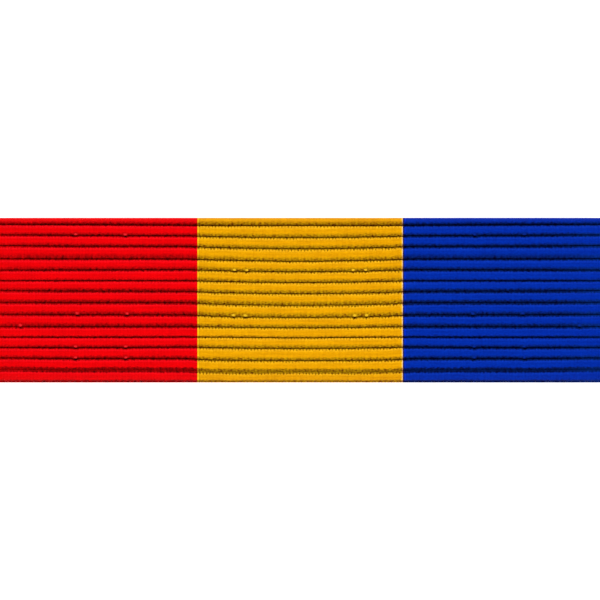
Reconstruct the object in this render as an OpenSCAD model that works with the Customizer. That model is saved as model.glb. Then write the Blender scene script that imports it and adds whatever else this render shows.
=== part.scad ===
// Ribbon bar: a ribbed three-stripe ribbon folded round a brass carrier, which
// slides onto a pin bar. Millimetres. The bar lies on its back: +X runs along
// it, +Y is up as worn, +Z points out of the face, and z = 0 is the surface
// that the hinge and the catch rest on.

/* [Ribbon] */
// Width of the ribbon, across its three stripes
ribbon_w = 35; // [30:0.1:40]
// Height of the face, from fold to fold
face_h = 9.55; // [9:0.05:12]
// Width of the red stripe and of the blue stripe
outer_stripe_w = 11.53; // [9:0.01:13]
// Thickness of the cloth in the furrows
cloth_t = 1; // [1:0.05:1.3]
// Height of a rib above the furrows
rib_rise = 0.14; // [0.1:0.01:0.2]
// Mean distance from rib to rib
rib_pitch = 0.65; // [0.5:0.01:0.8]
// Distance of the middle of the listed ribs below the middle of the face
rib_shift = 0.14; // [0:0.01:0.3]
// Outer radius of the folds, in the furrows
fold_r = 0.5; // [0.4:0.05:0.7]
// How far the turned ends reach in over the back
turn_in = 2.4; // [2.2:0.05:2.6]

/* [Carrier] */
// Thickness of the sheet brass
sheet_t = 0.35; // [0.3:0.01:0.45]
// Inner radius of the bends
bend_r = 0.2; // [0.1:0.05:0.3]
// Width of each lip that holds the pin bar
lip_w = 1.6; // [1.4:0.05:1.9]
// How far the carrier stays inside the ribbon's ends
carrier_inset = 0.35; // [0.2:0.05:1]

/* [Pin bar] */
// Thickness of the strip
strip_t = 0.6; // [0.5:0.05:0.8]
// How far the strip stays inside the carrier's ends
strip_inset = 0.45; // [0.2:0.05:1.2]
// Radius of the strip's corners
strip_corner_r = 0.8; // [0.3:0.1:1.5]
// Diameter of the pin wire
pin_d = 0.8; // [0.6:0.05:1]
// Distance from the hinge's axis to the middle of the catch
pin_span = 24; // [20:0.5:26]
// Distance from the ribbon's back to the pin wire, where the cloth of a coat goes
pin_clear = 0.5; // [0.3:0.05:1]
// How far the pin's point passes the catch
pin_past = 2.2; // [2:0.1:2.6]
// Length of the taper at the pin's point
point_l = 2.6; // [2:0.1:3.2]
// Diameter of the pin's tip
tip_d = 0.16; // [0.1:0.02:0.3]
// Diameter of the knuckle that the wire springs from
knuckle_d = 1.5; // [1.3:0.1:1.7]
// Width of the knuckle, between the hinge's ears
knuckle_w = 2; // [1.6:0.1:2.4]
// Thickness of the hinge's ears
ear_t = 0.5; // [0.4:0.05:0.6]
// Length of the hinge's ears along the bar
ear_l = 2.6; // [2.4:0.1:3]
// Thickness of the catch's sheet
catch_t = 0.55; // [0.45:0.05:0.65]
// Length of the catch along the bar
catch_l = 2.2; // [1.8:0.1:2.6]
// Radius of the outer corners of the hinge and the catch
corner_r = 0.5; // [0.4:0.05:0.6]

/* [Clearances] */
// Gap between the cloth and the brass inside it
cloth_gap = 0.05; // [0.03:0.01:0.1]
// Gap between the pin bar and the carrier's channel
slide_gap = 0.05; // [0.03:0.01:0.1]
// Gap between the pin wire and the catch
catch_gap = 0.06; // [0.04:0.01:0.1]

/* [Hidden] */
$fn = 48;

// One row for each rib of the face, from the upper fold down: its width as a
// share of rib_pitch. Ribs past the folds are one pitch wide.
rib_share = [
    0.97, 0.98, 1.06, 1.09, 0.90, 0.99, 1.06,
    1.07, 1.00, 0.93, 0.94, 0.99, 0.98, 1.04
];

// Heights above the surface, from the pin up to the ribbon's face
pin_z = catch_t + catch_gap + pin_d / 2;
ribbon_back_z = pin_z + pin_d / 2 + pin_clear + rib_rise;
carrier_back_z = ribbon_back_z + cloth_t + cloth_gap;
strip_back_z = carrier_back_z + sheet_t + slide_gap;
carrier_front_z = strip_back_z + strip_t + slide_gap + sheet_t;
ribbon_front_z = carrier_front_z + cloth_gap + cloth_t;

// Sections across the bar: heights in Y, depths in Z
ribbon_h = face_h - 2 * rib_rise;
ribbon_depth = ribbon_front_z - ribbon_back_z;
pocket_h = ribbon_h - 2 * cloth_t;
carrier_h = pocket_h - 2 * cloth_gap;
carrier_depth = carrier_front_z - carrier_back_z;
carrier_bend_r = bend_r + sheet_t;
strip_h = carrier_h - 2 * sheet_t - 2 * slide_gap;
catch_w = pin_d + 2 * catch_gap + 2 * catch_t;

// Lengths along the bar
carrier_l = ribbon_w - 2 * carrier_inset;
strip_l = carrier_l - 2 * strip_inset;
hinge_x = -pin_span / 2;
catch_x = pin_span / 2;

// The furrow line of the ribbon's outside, followed from the middle of the face
face_run = ribbon_h / 2 - fold_r;
fold_run = fold_r * PI / 2;
side_run = ribbon_depth - 2 * fold_r;
back_run = turn_in - rib_rise - fold_r;
half_run = face_run + 2 * fold_run + side_run + back_run;

function total(list, count) = count == 0 ? 0 : list[count - 1] + total(list, count - 1);

// Point of the furrow line at the distance run from the middle of the face,
// moved into the cloth by depth
function upper_point(run, depth) =
    let (
        fold_1 = (run - face_run) / fold_r * 180 / PI,
        side = run - face_run - fold_run,
        fold_2 = (side - side_run) / fold_r * 180 / PI,
        back = side - side_run - fold_run,
        arm = fold_r - depth
    )
    fold_1 < 0 ? [run, ribbon_front_z - depth]
    : side < 0 ? [face_run + arm * sin(fold_1), ribbon_front_z - fold_r + arm * cos(fold_1)]
    : fold_2 < 0 ? [ribbon_h / 2 - depth, ribbon_front_z - fold_r - side]
    : back < 0 ? [face_run + arm * cos(fold_2), ribbon_back_z + fold_r - arm * sin(fold_2)]
    : [face_run - back, ribbon_back_z + depth];

function outside_point(run, depth) =
    let (point = upper_point(abs(run), depth))
    [run < 0 ? -point[0] : point[0], point[1]];

// Rectangle with round corners, its lower edge on the axis
module rounded(width, height, r) {
    translate([-width / 2, r]) square([width, height - 2 * r]);
    translate([-width / 2 + r, 0]) square([width - 2 * r, height]);
    for (x = [-width / 2 + r, width / 2 - r], y = [r, height - r])
        translate([x, y]) circle(r);
}

// Sweeps a section in Y and Z along the bar, from x to x + length
module along_bar(x, length) {
    translate([x, 0, 0]) rotate([90, 0, 90]) linear_extrude(length) children();
}

// One rib, a round crest that stands rib_rise above the furrow line
module rib(run, width) {
    crest_r = min((pow(width / 2, 2) + pow(rib_rise, 2)) / (2 * rib_rise), fold_r + rib_rise);
    translate(outside_point(run, crest_r - rib_rise)) circle(crest_r);
}

// The ribs, from the turned end over the upper fold to the other turned end
module ribs() {
    plain = ceil(half_run / rib_pitch);
    shares = concat([for (i = [1:plain]) 1], rib_share, [for (i = [1:plain]) 1]);
    start = (plain + total(rib_share, len(rib_share)) / 2) * rib_pitch - rib_shift;
    for (i = [0:len(shares) - 1]) {
        width = shares[i] * rib_pitch;
        run = start - total(shares, i) * rib_pitch - width / 2;
        if (abs(run) + width / 2 <= half_run) rib(run, width);
    }
}

module ribbon_section() {
    difference() {
        union() {
            translate([0, ribbon_back_z]) rounded(ribbon_h, ribbon_depth, fold_r);
            ribs();
        }
        translate([0, ribbon_back_z + cloth_t])
            rounded(pocket_h, ribbon_depth - 2 * cloth_t, carrier_bend_r + cloth_gap);
        translate([-face_h / 2 + turn_in, 0])
            square([face_h - 2 * turn_in, ribbon_back_z + ribbon_depth / 2]);
    }
}

// One woven strip in three colours, with its ends turned in over the back
module ribbon() {
    middle_w = ribbon_w - 2 * outer_stripe_w;
    color("red") along_bar(-ribbon_w / 2, outer_stripe_w) ribbon_section();
    color("orange") along_bar(-middle_w / 2, middle_w) ribbon_section();
    color("mediumblue") along_bar(middle_w / 2, outer_stripe_w) ribbon_section();
}

// Sheet brass bent into a channel with two lips
module carrier() {
    color("goldenrod") along_bar(-carrier_l / 2, carrier_l) difference() {
        translate([0, carrier_back_z]) rounded(carrier_h, carrier_depth, carrier_bend_r);
        translate([0, carrier_back_z + sheet_t])
            rounded(carrier_h - 2 * sheet_t, carrier_depth - 2 * sheet_t, bend_r);
        translate([-carrier_h / 2 + lip_w, 0])
            square([carrier_h - 2 * lip_w, carrier_back_z + carrier_depth / 2]);
    }
}

// The flat strip that slides into the carrier, its long edges rounded to clear
// the carrier's bends
module strip() {
    edge_r = min(bend_r, strip_t / 3);
    intersection() {
        translate([0, 0, strip_back_z]) linear_extrude(strip_t)
            translate([0, -strip_h / 2]) rounded(strip_l, strip_h, strip_corner_r);
        along_bar(-strip_l / 2, strip_l)
            translate([0, strip_back_z]) rounded(strip_h, strip_t, edge_r);
    }
}

// One ear of the hinge, standing on the surface and set into the strip
module ear(y) {
    foot = strip_back_z + strip_t / 2;
    translate([hinge_x, y + ear_t, 0]) rotate([90, 0, 0]) linear_extrude(ear_t) union() {
        rounded(ear_l, foot, corner_r);
        translate([-ear_l / 2, corner_r]) square([ear_l, foot - corner_r]);
    }
}

module hinge() {
    ear(-knuckle_w / 2 - ear_t);
    ear(knuckle_w / 2);
    translate([hinge_x, knuckle_w / 2 + ear_t / 2, pin_z]) rotate([90, 0, 0])
        cylinder(d = knuckle_d, h = knuckle_w + ear_t);
}

// The wire, from the knuckle through the catch to its point
module pin_wire() {
    shank_l = pin_span + catch_l / 2 + pin_past - point_l;
    translate([hinge_x, 0, pin_z]) rotate([0, 90, 0]) {
        cylinder(d = pin_d, h = shank_l);
        translate([0, 0, shank_l]) cylinder(d1 = pin_d, d2 = tip_d, h = point_l);
    }
}

// A hook of sheet that the wire drops into from one side
module catch() {
    seat_w = pin_d + 2 * catch_gap;
    mouth_z = pin_z + pin_d / 2;
    along_bar(catch_x - catch_l / 2, catch_l) difference() {
        union() {
            rounded(catch_w, strip_back_z, corner_r);
            translate([-catch_w / 2, corner_r])
                square([catch_w, strip_back_z + strip_t / 2 - corner_r]);
        }
        translate([0, pin_z]) circle(d = seat_w);
        translate([-seat_w / 2, pin_z]) square([seat_w, mouth_z + pin_d - pin_z]);
        translate([-catch_w, mouth_z]) square([catch_w, pin_d]);
    }
}

// Strip, hinge, pin and catch, soldered into one plain piece
module pin_bar() {
    color("darkgoldenrod") {
        strip();
        hinge();
        pin_wire();
        catch();
    }
}

ribbon();
carrier();
pin_bar();
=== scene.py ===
"""Looks of a ribbon bar: its woven ribbon, its brass carrier and pin bar, and the studio round them."""

from __future__ import annotations

import logging
import math
from dataclasses import dataclass
from enum import Enum
from typing import NamedTuple, Union

import bmesh
import bpy
import numpy as np
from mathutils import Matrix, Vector

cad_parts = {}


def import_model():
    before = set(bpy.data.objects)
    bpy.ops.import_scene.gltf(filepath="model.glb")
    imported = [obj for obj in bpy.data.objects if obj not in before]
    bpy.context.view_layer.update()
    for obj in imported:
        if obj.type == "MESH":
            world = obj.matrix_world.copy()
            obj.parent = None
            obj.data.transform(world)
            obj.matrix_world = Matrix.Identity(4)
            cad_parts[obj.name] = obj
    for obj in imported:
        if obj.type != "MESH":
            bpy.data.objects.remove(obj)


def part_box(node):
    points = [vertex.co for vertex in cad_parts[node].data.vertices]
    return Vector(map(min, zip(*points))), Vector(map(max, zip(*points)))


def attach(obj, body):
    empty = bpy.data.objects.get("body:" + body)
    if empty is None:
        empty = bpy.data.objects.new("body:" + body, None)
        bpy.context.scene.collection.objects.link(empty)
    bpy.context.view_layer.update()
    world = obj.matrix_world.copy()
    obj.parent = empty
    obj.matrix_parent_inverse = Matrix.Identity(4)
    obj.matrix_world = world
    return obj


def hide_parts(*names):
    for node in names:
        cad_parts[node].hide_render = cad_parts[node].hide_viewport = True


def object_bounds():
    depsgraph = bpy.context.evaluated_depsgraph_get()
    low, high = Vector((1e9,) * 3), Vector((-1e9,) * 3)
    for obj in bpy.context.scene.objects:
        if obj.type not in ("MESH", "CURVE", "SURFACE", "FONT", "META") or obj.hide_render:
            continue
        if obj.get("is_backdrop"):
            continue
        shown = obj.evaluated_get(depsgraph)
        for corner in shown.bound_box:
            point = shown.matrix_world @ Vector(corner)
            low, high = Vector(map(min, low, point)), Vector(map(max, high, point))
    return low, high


MM = 0.001
BODY = "root"

Colour = tuple[float, float, float]
Number = Union["Wire", float]
Setting = Union[str, float, bool]
Section = tuple[tuple[float, float], ...]

WHITE: Colour = (1.0, 1.0, 1.0)
METAL_SHARP_DEG = 40.0
CLOTH_SHARP_DEG = 50.0

log = logging.getLogger("ribbon_bar")


class Wire:
    """A shader socket that takes part in Python expressions."""

    def __init__(self, shader: Shader, socket: bpy.types.NodeSocket) -> None:
        """Keeps the socket and the shader that it belongs to."""
        self.shader = shader
        self.socket = socket

    def __add__(self, other: Number) -> Wire:
        """Adds a number or a wire."""
        return self.shader.math("ADD", self, other)

    __radd__ = __add__

    def __sub__(self, other: Number) -> Wire:
        """Takes a number or a wire away."""
        return self.shader.math("SUBTRACT", self, other)

    def __rsub__(self, other: Number) -> Wire:
        """Takes this wire away from a number."""
        return self.shader.math("SUBTRACT", other, self)

    def __mul__(self, other: Number) -> Wire:
        """Multiplies by a number or a wire."""
        return self.shader.math("MULTIPLY", self, other)

    __rmul__ = __mul__

    def __abs__(self) -> Wire:
        """Drops the sign."""
        return self.shader.math("ABSOLUTE", self)

    def fraction(self) -> Wire:
        """Gives what follows the whole number."""
        return self.shader.math("FRACT", self)

    def floor(self) -> Wire:
        """Rounds down to a whole number."""
        return self.shader.math("FLOOR", self)

    def above(self, limit: float) -> Wire:
        """Gives 1 where the value is over the limit and 0 elsewhere."""
        return self.shader.math("GREATER_THAN", self, limit)

    def ease(self, low: Number, high: Number) -> Wire:
        """Rises smoothly from 0 at low to 1 at high, and stays there."""
        settings = {"interpolation_type": "SMOOTHSTEP", "clamp": True}
        inputs = {"Value": self, "From Min": low, "From Max": high}
        return self.shader.node("ShaderNodeMapRange", settings, inputs)


class Shader:
    """The nodes of a material or a world, which Python expressions add."""

    def __init__(self, owner: Union[bpy.types.Material, bpy.types.World]) -> None:
        """Starts with no nodes.

        Args:
            owner: The material or world that the nodes belong to.
        """
        owner.use_nodes = True
        self.nodes = owner.node_tree.nodes
        self.links = owner.node_tree.links
        self.nodes.clear()

    def node(
        self,
        kind: str,
        settings: dict[str, Setting] | None = None,
        inputs: dict[Union[str, int], object] | None = None,
        output: Union[str, int] = 0,
    ) -> Wire:
        """Adds a node of any kind.

        Args:
            kind: The node's type.
            settings: Properties of the node, set before its sockets.
            inputs: Values or wires, by the socket's identifier, name or number.
            output: The identifier, name or number of the output that is wanted.

        Returns:
            The output as a wire.
        """
        made = self.nodes.new(kind)
        for key, value in (settings or {}).items():
            setattr(made, key, value)
        for key, value in (inputs or {}).items():
            socket = self.find(made.inputs, key)
            if isinstance(value, Wire):
                self.links.new(value.socket, socket)
            elif isinstance(value, tuple) and socket.type == "RGBA":
                socket.default_value = (*value, 1.0)
            else:
                socket.default_value = value
        return Wire(self, self.find(made.outputs, output))

    @staticmethod
    def find(sockets: bpy.types.bpy_prop_collection, key: Union[str, int]) -> bpy.types.NodeSocket:
        """Finds a socket.

        Args:
            sockets: A node's inputs or outputs.
            key: The socket's number, identifier or name.

        Returns:
            The socket.
        """
        if isinstance(key, int):
            return sockets[key]
        for socket in sockets:
            if socket.identifier == key:
                return socket
        return sockets[key]

    def math(self, operation: str, *values: Number) -> Wire:
        """Adds a Math node on one to three values."""
        return self.node("ShaderNodeMath", {"operation": operation}, dict(enumerate(values)))

    def mix(self, share: Number, first: object, second: object) -> Wire:
        """Mixes two colours, with a share of the second one from 0 to 1."""
        settings = {"data_type": "RGBA", "clamp_factor": True}
        inputs = {"Factor_Float": share, "A_Color": first, "B_Color": second}
        return self.node("ShaderNodeMix", settings, inputs, "Result_Color")

    def scale(self, colour: object, levels: Wire) -> Wire:
        """Multiplies each channel of a colour by its own level."""
        inputs = {0: colour, 1: levels}
        return self.node("ShaderNodeVectorMath", {"operation": "MULTIPLY"}, inputs)

    def place(self, x: Number, y: Number, z: Number = 0.0) -> Wire:
        """Joins three numbers into one vector."""
        return self.node("ShaderNodeCombineXYZ", None, {"X": x, "Y": y, "Z": z})

    def split(self, vector: Wire) -> tuple[Wire, Wire, Wire]:
        """Splits a vector into its three numbers."""
        parts = self.node("ShaderNodeSeparateXYZ", None, {"Vector": vector}).socket.node.outputs
        return Wire(self, parts[0]), Wire(self, parts[1]), Wire(self, parts[2])

    def noise(
        self, place: Wire, scale: float = 1.0, detail: float = 2.0, roughness: float = 0.5
    ) -> Wire:
        """Gives smooth noise about 0.5.

        Args:
            place: Where the noise is read.
            scale: How many lumps one unit holds.
            detail: How many finer octaves are added.
            roughness: How strong the finer octaves are.

        Returns:
            The noise, from 0 to 1.
        """
        inputs = {"Vector": place, "Scale": scale, "Detail": detail, "Roughness": roughness}
        return self.node("ShaderNodeTexNoise", None, inputs)

    def chance(self, place: Wire) -> Wire:
        """Gives one even random number from 0 to 1 for each place."""
        return self.node("ShaderNodeTexWhiteNoise", {"noise_dimensions": "3D"}, {"Vector": place})

    def attribute(self, name: str) -> Wire:
        """Reads a number that the mesh holds at each point."""
        return self.node("ShaderNodeAttribute", {"attribute_name": name}, None, "Fac")

    def bump(self, height: Wire, depth: float) -> Wire:
        """Turns a height into a normal, where 1 stands for the depth in millimetres."""
        inputs = {"Height": height, "Distance": depth * MM, "Strength": 1.0}
        return self.node("ShaderNodeBump", None, inputs)

    def surface(self, inputs: dict[str, object]) -> None:
        """Makes the material's surface with the Principled shader."""
        self.close(self.node("ShaderNodeBsdfPrincipled", None, inputs))

    def close(self, surface: Wire, kind: str = "ShaderNodeOutputMaterial") -> None:
        """Joins a surface to the output of the material or world."""
        self.links.new(surface.socket, self.nodes.new(kind).inputs["Surface"])


class DyeAndPaintedLight(NamedTuple):
    """Linear colours of one kind of yarn: its body colour, a painted highlight for the rib tops and painted
    shade for the furrows.
    """

    body: Colour
    crest: Colour
    furrow: Colour


class Yarn(Enum):
    """The dyes of the three stripes and of the single yarns along their borders, each with a painted
    highlight and a painted shade colour beside its body colour.
    """

    # Each holds the body colour, then a painted highlight for the rib tops, then painted shade for the
    # furrows
    RED = DyeAndPaintedLight((0.87, 0.0004, 0.0022), (1.0, 0.003, 0.009), (0.314, 0.0001, 0.0007))
    GOLD = DyeAndPaintedLight((0.858, 0.379, 0.0008), (1.0, 0.515, 0.011), (0.335, 0.166, 0.0005))
    BLUE = DyeAndPaintedLight((0.0005, 0.0255, 0.387), (0.003, 0.035, 0.455), (0.0003, 0.009, 0.09))
    PALE = DyeAndPaintedLight((0.98, 0.56, 0.007), (0.98, 0.6, 0.02), (0.42, 0.23, 0.005))
    OLIVE = DyeAndPaintedLight((0.69, 0.4, 0.0005), (0.8, 0.48, 0.005), (0.17, 0.1, 0.0003))
    CREAM = DyeAndPaintedLight((0.9, 0.62, 0.37), (0.95, 0.7, 0.46), (0.45, 0.19, 0.09))
    PURPLE = DyeAndPaintedLight((0.02, 0.006, 0.05), (0.03, 0.01, 0.08), (0.01, 0.001, 0.005))
    BRIGHT_BLUE = DyeAndPaintedLight((0.001, 0.026, 0.6), (0.002, 0.03, 0.66), (0.0003, 0.0025, 0.05))


class Side(Enum):
    """Which borders of the gold stripe a yarn lies along, as the sign of the place along the bar."""

    RED_SIDE = -1
    BOTH = 0
    BLUE_SIDE = 1


class Border(NamedTuple):
    """A yarn beside a border of the gold stripe, in millimetres inwards from the border."""

    start: float
    end: float
    yarn: Yarn
    side: Side


BORDERS = (
    Border(0.077, 0.137, Yarn.OLIVE, Side.RED_SIDE),
    Border(0.0, 0.084, Yarn.PALE, Side.BOTH),
    Border(-0.02, 0.027, Yarn.CREAM, Side.BLUE_SIDE),
    Border(-0.075, -0.02, Yarn.PURPLE, Side.BLUE_SIDE),
    Border(-0.2, -0.125, Yarn.BRIGHT_BLUE, Side.BLUE_SIDE),
)


class ByStripe(NamedTuple):
    """A value that each stripe has for itself."""

    red: float
    gold: float
    blue: float


@dataclass(frozen=True)
class RibbonCloth:
    """Finish of the ribbed ribbon, whose colours also hold painted shade and painted highlights. Lengths
    are in millimetres, and yarns run across the ribs.

    Where two values stand together, something starts at the first and is complete at the second,
    or for lumps of noise they are the numbers on a millimetre along and on a rib across.
    """

    gold_half_w: float
    rib_pitch: float
    usual_gape: float
    border_blur: float = 0.012
    roughness: float = 0.6
    gloss: float = 0.02

    yarn_pitch: float = 0.1864
    yarn_wander: float = 1.8
    wander_lumps: tuple[float, float] = (0.2, 3.7)
    yarn_depth: float = 0.02
    yarn_tone: float = 0.05
    fibre_share: float = 0.2
    fibre_lumps: tuple[float, float] = (30.0, 6.0)

    # The next values shape the painted shade in the furrows and on the lower side of each rib
    grain_lumps: float = 5.5
    notch: ByStripe = ByStripe(0.0105, 0.051, 0.0105)
    notch_swing: float = 2.2
    shift: ByStripe = ByStripe(0.0, 0.04, -0.018)
    fray_lumps: ByStripe = ByStripe(4.0, 10.0, 4.0)
    fray: float = 0.045
    mottle_lumps: ByStripe = ByStripe(9.0, 13.0, 9.0)
    mottle: float = 0.14
    swell: float = 0.13
    extra_swell: ByStripe = ByStripe(0.0, 0.015, 0.0)
    swell_above: float = 1.3
    swell_fade: float = 0.7
    wide_gape: tuple[float, float] = (1.2, 1.35)
    wide_cut: ByStripe = ByStripe(0.006, 0.006, 0.017)
    upper_shade: tuple[float, float] = (0.033, 0.118)
    lower_shade_start: float = 0.037
    lower_shade_end: ByStripe = ByStripe(0.251, 0.263, 0.239)

    # painted highlight on each yarn just below the furrow
    bead_highlight_rise: tuple[float, float] = (0.03, 0.1)
    bead_highlight_fall: tuple[float, float] = (0.15, 0.24)
    bead_highlight_swing: ByStripe = ByStripe(0.35, 0.85, 0.35)
    streaks: float = 0.4
    streak_lumps: tuple[float, float] = (0.4, 5.0)
    fuzz: ByStripe = ByStripe(0.36, 0.36, 0.58)
    fuzz_lumps: tuple[float, float] = (5.0, 7.0)
    # painted light: the lower part of each rib lighter and the upper part darker
    rib_light_slope: float = 0.06
    rib_middle: float = 0.45

    # The next values set how deep the painted furrow shade is, lighter or deeper from place to place
    furrow_fray: ByStripe = ByStripe(2.0, 2.2, 2.0)
    wide_calm: float = 0.4
    thread: ByStripe = ByStripe(0.2, 0.4, 0.2)
    thread_tone: float = 0.25
    mean_roundness: float = 0.67
    ridge: tuple[float, float] = (0.02, 0.07)
    ridge_light: float = 0.55
    gape_dark: float = 0.25

    end_zone: tuple[float, float] = (14.5, 17.5)
    end_shade: float = 0.03
    end_light: ByStripe = ByStripe(0.4, 0.4, 0.8)
    middle_zone: tuple[float, float] = (2.5, 4.5)
    middle_light: float = 0.12
    # painted shade where the cloth turns round its folds and down its sides, deeper in the furrows
    side_shade: float = 0.12
    side_dark: float = 0.3

    green_falls: float = 1.4
    green_least: float = 0.02
    # painted highlight on each slub and painted shadow just below it
    spot_edge: tuple[float, float] = (0.2, 1.0)
    lump_highlight_spread: float = 1.6
    lump_highlight: ByStripe = ByStripe(0.8, 1.0, 0.4)
    lump_highlight_white: ByStripe = ByStripe(0.02, 0.02, 0.0)
    slub_shadow_spread: float = 1.5
    slub_shadow_dark: float = 0.7

    def material(self, name: str) -> bpy.types.Material:
        """Makes the cloth's material.

        Args:
            name: The material's name.

        Returns:
            The material, which reads the mesh's weave map and its attributes.
        """
        material = bpy.data.materials.new(name)
        shader = ClothShader(material, self)
        fibres = shader.lumps(self.fibre_lumps, 2.0)
        relief = shader.roundness * (1 - self.fibre_share) + fibres * self.fibre_share
        shader.surface({
            "Base Color": shader.colour(),
            "Roughness": self.roughness + shader.fuzz * 0.2,
            "Specular IOR Level": self.gloss,
            "Normal": shader.bump(relief, self.yarn_depth),
        })
        return material


class ClothShader(Shader):
    """The nodes of the ribbon's material, with the wires that its colours share."""

    def __init__(self, owner: bpy.types.Material, cloth: RibbonCloth) -> None:
        """Reads the weave map and the mesh's attributes.

        Args:
            owner: The material.
            cloth: Its finish.
        """
        super().__init__(owner)
        self.cloth = cloth
        self.along, self.ribs, _ = self.split(self.node("ShaderNodeUVMap", {"uv_map": "weave"}))
        self.rib_share = self.ribs.fraction()
        self.in_gold = (cloth.gold_half_w - abs(self.along)).above(0.0)
        self.in_blue = (self.along - cloth.gold_half_w).above(0.0)
        self.near_end = abs(self.along).ease(*cloth.end_zone)
        # gape sets how wide the painted furrow shade is
        self.gape = self.attribute("gape") * (1 / cloth.usual_gape)
        self.wide = self.gape.ease(*cloth.wide_gape)
        # slub is positive at each slub's painted highlight and negative at the painted shadow just below it
        self.slub = self.attribute("slub")
        self.turn = self.attribute("turn")
        self.roundness, self.yarn_tone = self.yarns()
        self.fray = self.grain(40.0, cloth.fray_lumps)
        self.fuzz = self.lumps(cloth.fuzz_lumps, 3.0) - 0.5
        # painted highlight colour for the rib tops and the slubs
        self.crest = self.striped("crest")

    def by_stripe(self, values: ByStripe) -> Wire:
        """Gives each stripe its own value."""
        more_in_gold = self.in_gold * (values.gold - values.red)
        return self.in_blue * (values.blue - values.red) + more_in_gold + values.red

    def lumps(self, size: tuple[float, float], detail: float) -> Wire:
        """Gives noise with its lumps counted along the bar and across a rib."""
        return self.noise(self.place(self.along * size[0], self.ribs * size[1]), detail=detail)

    def grain(self, start: float, lumps: ByStripe) -> Wire:
        """Gives fine noise about 0, without any slow swings along the ribs.

        Args:
            start: Where the noise starts, which makes it another one.
            lumps: How many lumps a rib has across, in each stripe.

        Returns:
            The noise, from -1 to 1.
        """
        x, y = self.along * self.cloth.grain_lumps + start, self.ribs * self.by_stripe(lumps)
        here, beside = (
            self.noise(self.place(x + shift, y, 3.3), roughness=0.6) for shift in (0.0, 0.9)
        )
        return here - beside

    def toned(self, colour: Wire, level: Wire) -> Wire:
        """Multiplies a colour by a level, which green follows further, so that gold turns brown.

        Args:
            colour: The colour.
            level: The level, about 1.

        Returns:
            The colour at that level.
        """
        falls = self.cloth.green_falls
        green = self.math("MAXIMUM", level * falls - (falls - 1), self.cloth.green_least)
        return self.scale(colour, self.place(level, green, level))

    def striped(self, kind: str) -> Wire:
        """Lays one kind of yarn colour out in stripes.

        Args:
            kind: Which colour of each yarn is wanted: its body colour, its painted highlight or its painted
                furrow shade.

        Returns:
            The colour at each place.
        """
        kind_colours = {yarn: getattr(yarn.value, kind) for yarn in Yarn}
        blue_side = self.along.above(0.0)
        inside = self.cloth.gold_half_w - abs(self.along)
        colour = self.mix(blue_side, kind_colours[Yarn.RED], kind_colours[Yarn.BLUE])
        colour = self.mix(self.past(inside, 0.0), colour, kind_colours[Yarn.GOLD])
        on_side = {Side.RED_SIDE: 1 - blue_side, Side.BOTH: 1.0, Side.BLUE_SIDE: blue_side}
        for border in BORDERS:
            share = self.past(inside, border.start) * (1 - self.past(inside, border.end))
            colour = self.mix(share * on_side[border.side], colour, kind_colours[border.yarn])
        return colour

    def past(self, inside: Wire, limit: float) -> Wire:
        """Gives 1 where the distance inwards is past a limit, with a soft edge."""
        return inside.ease(limit - self.cloth.border_blur, limit + self.cloth.border_blur)

    def yarns(self) -> tuple[Wire, Wire]:
        """Lays the yarns side by side across each rib.

        Returns:
            How full the yarn is, 1 at its middle and 0 beside it, and its own tone, about 0.
        """
        rib = self.ribs.floor()
        lumps_along, lumps_across = self.cloth.wander_lumps
        wander = self.noise(self.place(self.along * lumps_along, rib * lumps_across)) - 0.5
        yarns = self.along * (1 / self.cloth.yarn_pitch) + rib * 0.5 + wander * self.cloth.yarn_wander
        off_middle = yarns.fraction() * 2 - 1
        tone = self.chance(self.place(yarns.floor(), rib)) - 0.5
        return 1 - off_middle * off_middle, tone

    def below_furrow(self) -> Wire:
        """Gives the distance below the furrow's ragged edge, which the yarns notch.

        Returns:
            The distance in millimetres.
        """
        notch = (1 - self.roundness) * self.by_stripe(self.cloth.notch)
        notch = notch * (1 + self.yarn_tone * self.cloth.notch_swing)
        shift = self.by_stripe(self.cloth.shift) + self.fray * self.cloth.fray
        return self.rib_share * self.cloth.rib_pitch - notch + shift

    def openness(self, below: Wire) -> Wire:
        """Gives how far each place is clear of the furrows' shade.

        Args:
            below: The distance below the furrow above it.

        Returns:
            The share, from 0 in a furrow to 1 on a rib.
        """
        cloth = self.cloth
        mottle = self.grain(0.0, cloth.mottle_lumps) * cloth.mottle
        above = (1 - self.rib_share) * cloth.rib_pitch + mottle
        swell = (self.gape - 1) * cloth.swell + self.by_stripe(cloth.extra_swell)
        swell = swell - self.wide * self.by_stripe(cloth.wide_cut)
        # painted shade of each furrow, below it and up over the lower side of the rib above it
        upper = below.ease(swell + cloth.upper_shade[0], swell + cloth.upper_shade[1])
        lower_shade_end = swell * cloth.swell_fade + self.by_stripe(cloth.lower_shade_end)
        lower_shade_start = swell * cloth.swell_above + cloth.lower_shade_start
        return upper * above.ease(lower_shade_start, lower_shade_end * self.attribute("fade"))

    def lit(self, below: Wire) -> Wire:
        """Gives the colour of the ribs, with a painted highlight on each yarn, painted light tilting across
        each rib and painted shade round the folds.

        Args:
            below: The distance below the furrow above it.

        Returns:
            The colour.
        """
        cloth = self.cloth
        # painted highlight on each yarn just below the furrow
        bead_highlight = 1 + (self.roundness - 1) * self.by_stripe(cloth.bead_highlight_swing)
        bead_highlight = bead_highlight * below.ease(*cloth.bead_highlight_rise) * (1 - below.ease(*cloth.bead_highlight_fall))
        streaks = self.lumps(cloth.streak_lumps, 3.0) - 0.5
        tone = streaks * cloth.streaks + self.fuzz * self.by_stripe(cloth.fuzz) + 1
        # painted light: the lower part of each rib lighter and the upper part darker
        light_slope = (self.rib_share - cloth.rib_middle) * cloth.rib_light_slope
        tone = tone + self.yarn_tone * cloth.yarn_tone + light_slope
        # painted shade where the cloth turns round its folds and down its sides
        tone = (tone - self.near_end * cloth.end_shade) * (1 - self.turn * cloth.side_shade)
        return self.toned(self.mix(bead_highlight, self.striped("body"), self.crest), tone)

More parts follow.
